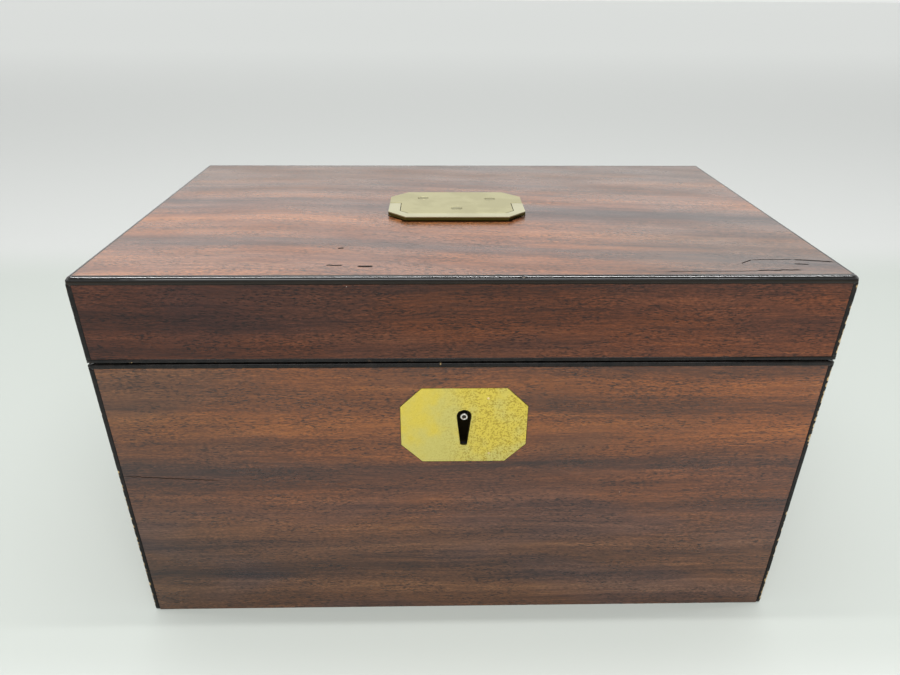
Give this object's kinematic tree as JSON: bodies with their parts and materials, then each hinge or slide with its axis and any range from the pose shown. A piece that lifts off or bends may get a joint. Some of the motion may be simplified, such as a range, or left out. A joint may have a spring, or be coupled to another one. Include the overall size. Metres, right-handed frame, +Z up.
{
  "type": "tea caddy",
  "caption": "Rectangular veneered tea caddy with edge stringing, hinged lid with a drop handle, box lock, and a fitted inside with tea compartments and a mixing bowl.",
  "frame": {"origin": "middle of the box's underside, on the surface it stands on", "axes": "+X along the box's width to the right as seen from the front, front faces -Y, +Z up"},
  "size_m": [0.302, 0.186, 0.1792],
  "materials": {
    "mahogany_veneer": "satin french polish",
    "mahogany_solid": "satin",
    "pine": "bare, aged",
    "ebony": "polished",
    "yellow_brass": "aged, mottled",
    "aged_brass": "aged, dull",
    "hardware_brass": "dull",
    "steel": "aged",
    "lead_foil": "dull, creased",
    "bone": "turned and polished",
    "glass": "clear",
    "velvet": "padded velvet"
  },
  "bodies": {
    "base": {"base_front_board": "pine", "base_back_board": "pine", "base_left_board": "pine", "base_right_board": "pine", "base_bottom_board": "pine", "base_front_veneer": "mahogany_veneer", "base_back_veneer": "mahogany_veneer", "base_left_veneer": "mahogany_veneer", "base_right_veneer": "mahogany_veneer", "base_edge_stringing": "ebony", "escutcheon": "yellow_brass", "lock_case": "hardware_brass", "lock_cap": "hardware_brass", "lock_drill_pin": "steel", "lock_spring": "steel", "lock_screw_left": "hardware_brass", "lock_screw_right": "hardware_brass", "hinge_left_base_leaf": "hardware_brass", "hinge_right_base_leaf": "hardware_brass", "hinge_left_pin": "steel", "hinge_right_pin": "steel", "lining_front": "mahogany_solid", "lining_back": "mahogany_solid", "lining_left": "mahogany_solid", "lining_right": "mahogany_solid", "partition_left": "mahogany_solid", "partition_right": "mahogany_solid", "well_board": "mahogany_solid", "foil_lining_left": "lead_foil", "foil_lining_right": "lead_foil", "inner_lid_left_rod": "hardware_brass", "inner_lid_right_rod": "hardware_brass"},
    "lid": {"lid_top_board": "pine", "lid_front_rail": "pine", "lid_back_rail": "pine", "lid_left_rail": "pine", "lid_right_rail": "pine", "lid_top_veneer": "mahogany_veneer", "lid_front_veneer": "mahogany_veneer", "lid_back_veneer": "mahogany_veneer", "lid_left_veneer": "mahogany_veneer", "lid_right_veneer": "mahogany_veneer", "lid_edge_stringing": "ebony", "hinge_left_lid_leaf": "hardware_brass", "hinge_right_lid_leaf": "hardware_brass", "link_plate": "hardware_brass", "link_screw_left": "hardware_brass", "link_screw_right": "hardware_brass", "lid_lining": "velvet", "handle_plate": "aged_brass", "handle_screw_left": "aged_brass", "handle_screw_right": "aged_brass", "handle_screw_front": "aged_brass"},
    "handle_bail": {"handle_bail": "aged_brass"},
    "lock_bolt": {"lock_bolt": "hardware_brass"},
    "inner_lid_left": {"inner_lid_left": "mahogany_solid", "inner_lid_left_knob": "bone"},
    "inner_lid_right": {"inner_lid_right": "mahogany_solid", "inner_lid_right_knob": "bone"},
    "glass_bowl": {"glass_bowl": "glass"}
  },
  "joints": [
    {"name": "lid_hinge", "type": "hinge", "parent": "base", "child": "lid", "pos_m": [0, 0.093, 0.1398], "axis": [-1, 0, 0], "range_deg": [0, 95]},
    {"name": "bail_hinge", "type": "hinge", "parent": "lid", "child": "handle_bail", "pos_m": [-0.0015, -0.0015, 0.1779], "axis": [-1, 0, 0], "range_deg": [0, 90]},
    {"name": "lock_bolt_slide", "type": "slide", "parent": "base", "child": "lock_bolt", "axis": [1, 0, 0], "range_m": [0, 0.005]},
    {"name": "inner_lid_left_hinge", "type": "hinge", "parent": "base", "child": "inner_lid_left", "pos_m": [-0.0988, 0.0752, 0.1335], "axis": [-1, 0, 0], "range_deg": [0, 90]},
    {"name": "inner_lid_right_hinge", "type": "hinge", "parent": "base", "child": "inner_lid_right", "pos_m": [0.0988, 0.0752, 0.1335], "axis": [-1, 0, 0], "range_deg": [0, 90]},
    {"name": "glass_bowl_lift", "type": "slide", "parent": "base", "child": "glass_bowl", "axis": [0, 0, 1], "range_m": [0, 0.06]}
  ],
  "couplings": [
    {"joint": "inner_lid_left_hinge", "follows": "lid_hinge", "ratio": 0.9473},
    {"joint": "inner_lid_right_hinge", "follows": "lid_hinge", "ratio": 0.9473},
    {"joint": "glass_bowl_lift", "follows": "lid_hinge", "m_per_rad": 0.036}
  ]
}
